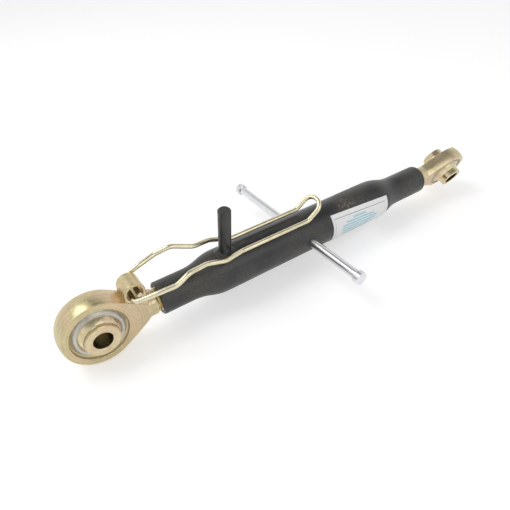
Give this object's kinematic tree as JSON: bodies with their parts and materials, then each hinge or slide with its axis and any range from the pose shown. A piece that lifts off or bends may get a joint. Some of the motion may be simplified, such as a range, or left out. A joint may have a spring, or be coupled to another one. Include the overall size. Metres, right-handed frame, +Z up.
{
  "type": "tractor top link",
  "caption": "Turnbuckle top link: swaged tube with screw-in forged swivel ball eyes, sliding turning bar, stop post and hinged wire locking clip.",
  "frame": {"origin": "centre of the front ball's pin bore", "axes": "+X along the link towards the rear eye, +Z up on the side of the clip's lug, +Y along the front ball's bore"},
  "size_m": [0.5838, 0.242, 0.1236],
  "materials": {
    "black_paint": "semi-gloss black paint over swaged steel tube",
    "yellow_zinc": "satin yellow zinc plate on forged steel",
    "zinc_screw": "yellow zinc plate on a cut thread",
    "ball_zinc": "yellow zinc plate on turned steel",
    "seat_steel": "bare turned steel",
    "bright_chrome": "bright plated round bar",
    "wire_zinc": "bright yellow zinc plate on drawn wire",
    "label_film": "printed film with plain bars"
  },
  "bodies": {
    "tube_body": {"tube": "black_paint", "stop_post": "black_paint", "post_weld": "black_paint", "label": "label_film"},
    "front_end": {"front_eye": "yellow_zinc", "front_screw": "zinc_screw", "front_seat_near": "seat_steel", "front_seat_far": "seat_steel"},
    "front_swivel": {"front_ball": "ball_zinc"},
    "clip": {"lock_clip": "wire_zinc"},
    "turning_bar": {"tommy_bar": "bright_chrome", "bar_knob_near": "bright_chrome", "bar_knob_far": "bright_chrome"},
    "rear_rod": {"rear_screw": "zinc_screw"},
    "rear_end": {"rear_eye": "yellow_zinc", "rear_seat_near": "seat_steel", "rear_seat_far": "seat_steel"},
    "rear_swivel": {"rear_ball": "ball_zinc"}
  },
  "joints": [
    {"name": "front_screw_out", "type": "slide", "parent": "tube_body", "child": "front_end", "axis": [-1, 0, 0], "range_m": [-0.004, 0.075]},
    {"name": "clip_lift", "type": "hinge", "parent": "front_end", "child": "clip", "pos_m": [0.0432, 0, 0.0292], "axis": [0, -0.9877, -0.1564], "range_deg": [0, 110]},
    {"name": "front_ball_tilt", "type": "hinge", "parent": "front_end", "child": "front_swivel", "pos_m": [0, 0, 0], "axis": [0, 0, 1], "range_deg": [-14, 14]},
    {"name": "bar_slide", "type": "slide", "parent": "tube_body", "child": "turning_bar", "axis": [0, 1, 0], "range_m": [-0.1, 0.0725]},
    {"name": "rear_screw_out", "type": "slide", "parent": "tube_body", "child": "rear_rod", "axis": [1, 0, 0], "range_m": [0, 0.0901]},
    {"name": "rear_eye_turn", "type": "hinge", "parent": "rear_rod", "child": "rear_end", "pos_m": [0.5145, 0, 0], "axis": [-1, 0, 0], "range_deg": [0, 10800]},
    {"name": "rear_ball_tilt", "type": "hinge", "parent": "rear_end", "child": "rear_swivel", "pos_m": [0.5145, 0, 0], "axis": [0, -0.4384, 0.8988], "range_deg": [-15, 15]}
  ],
  "couplings": [
    {"joint": "rear_screw_out", "follows": "rear_eye_turn", "m_per_rad": 0.00047746}
  ]
}
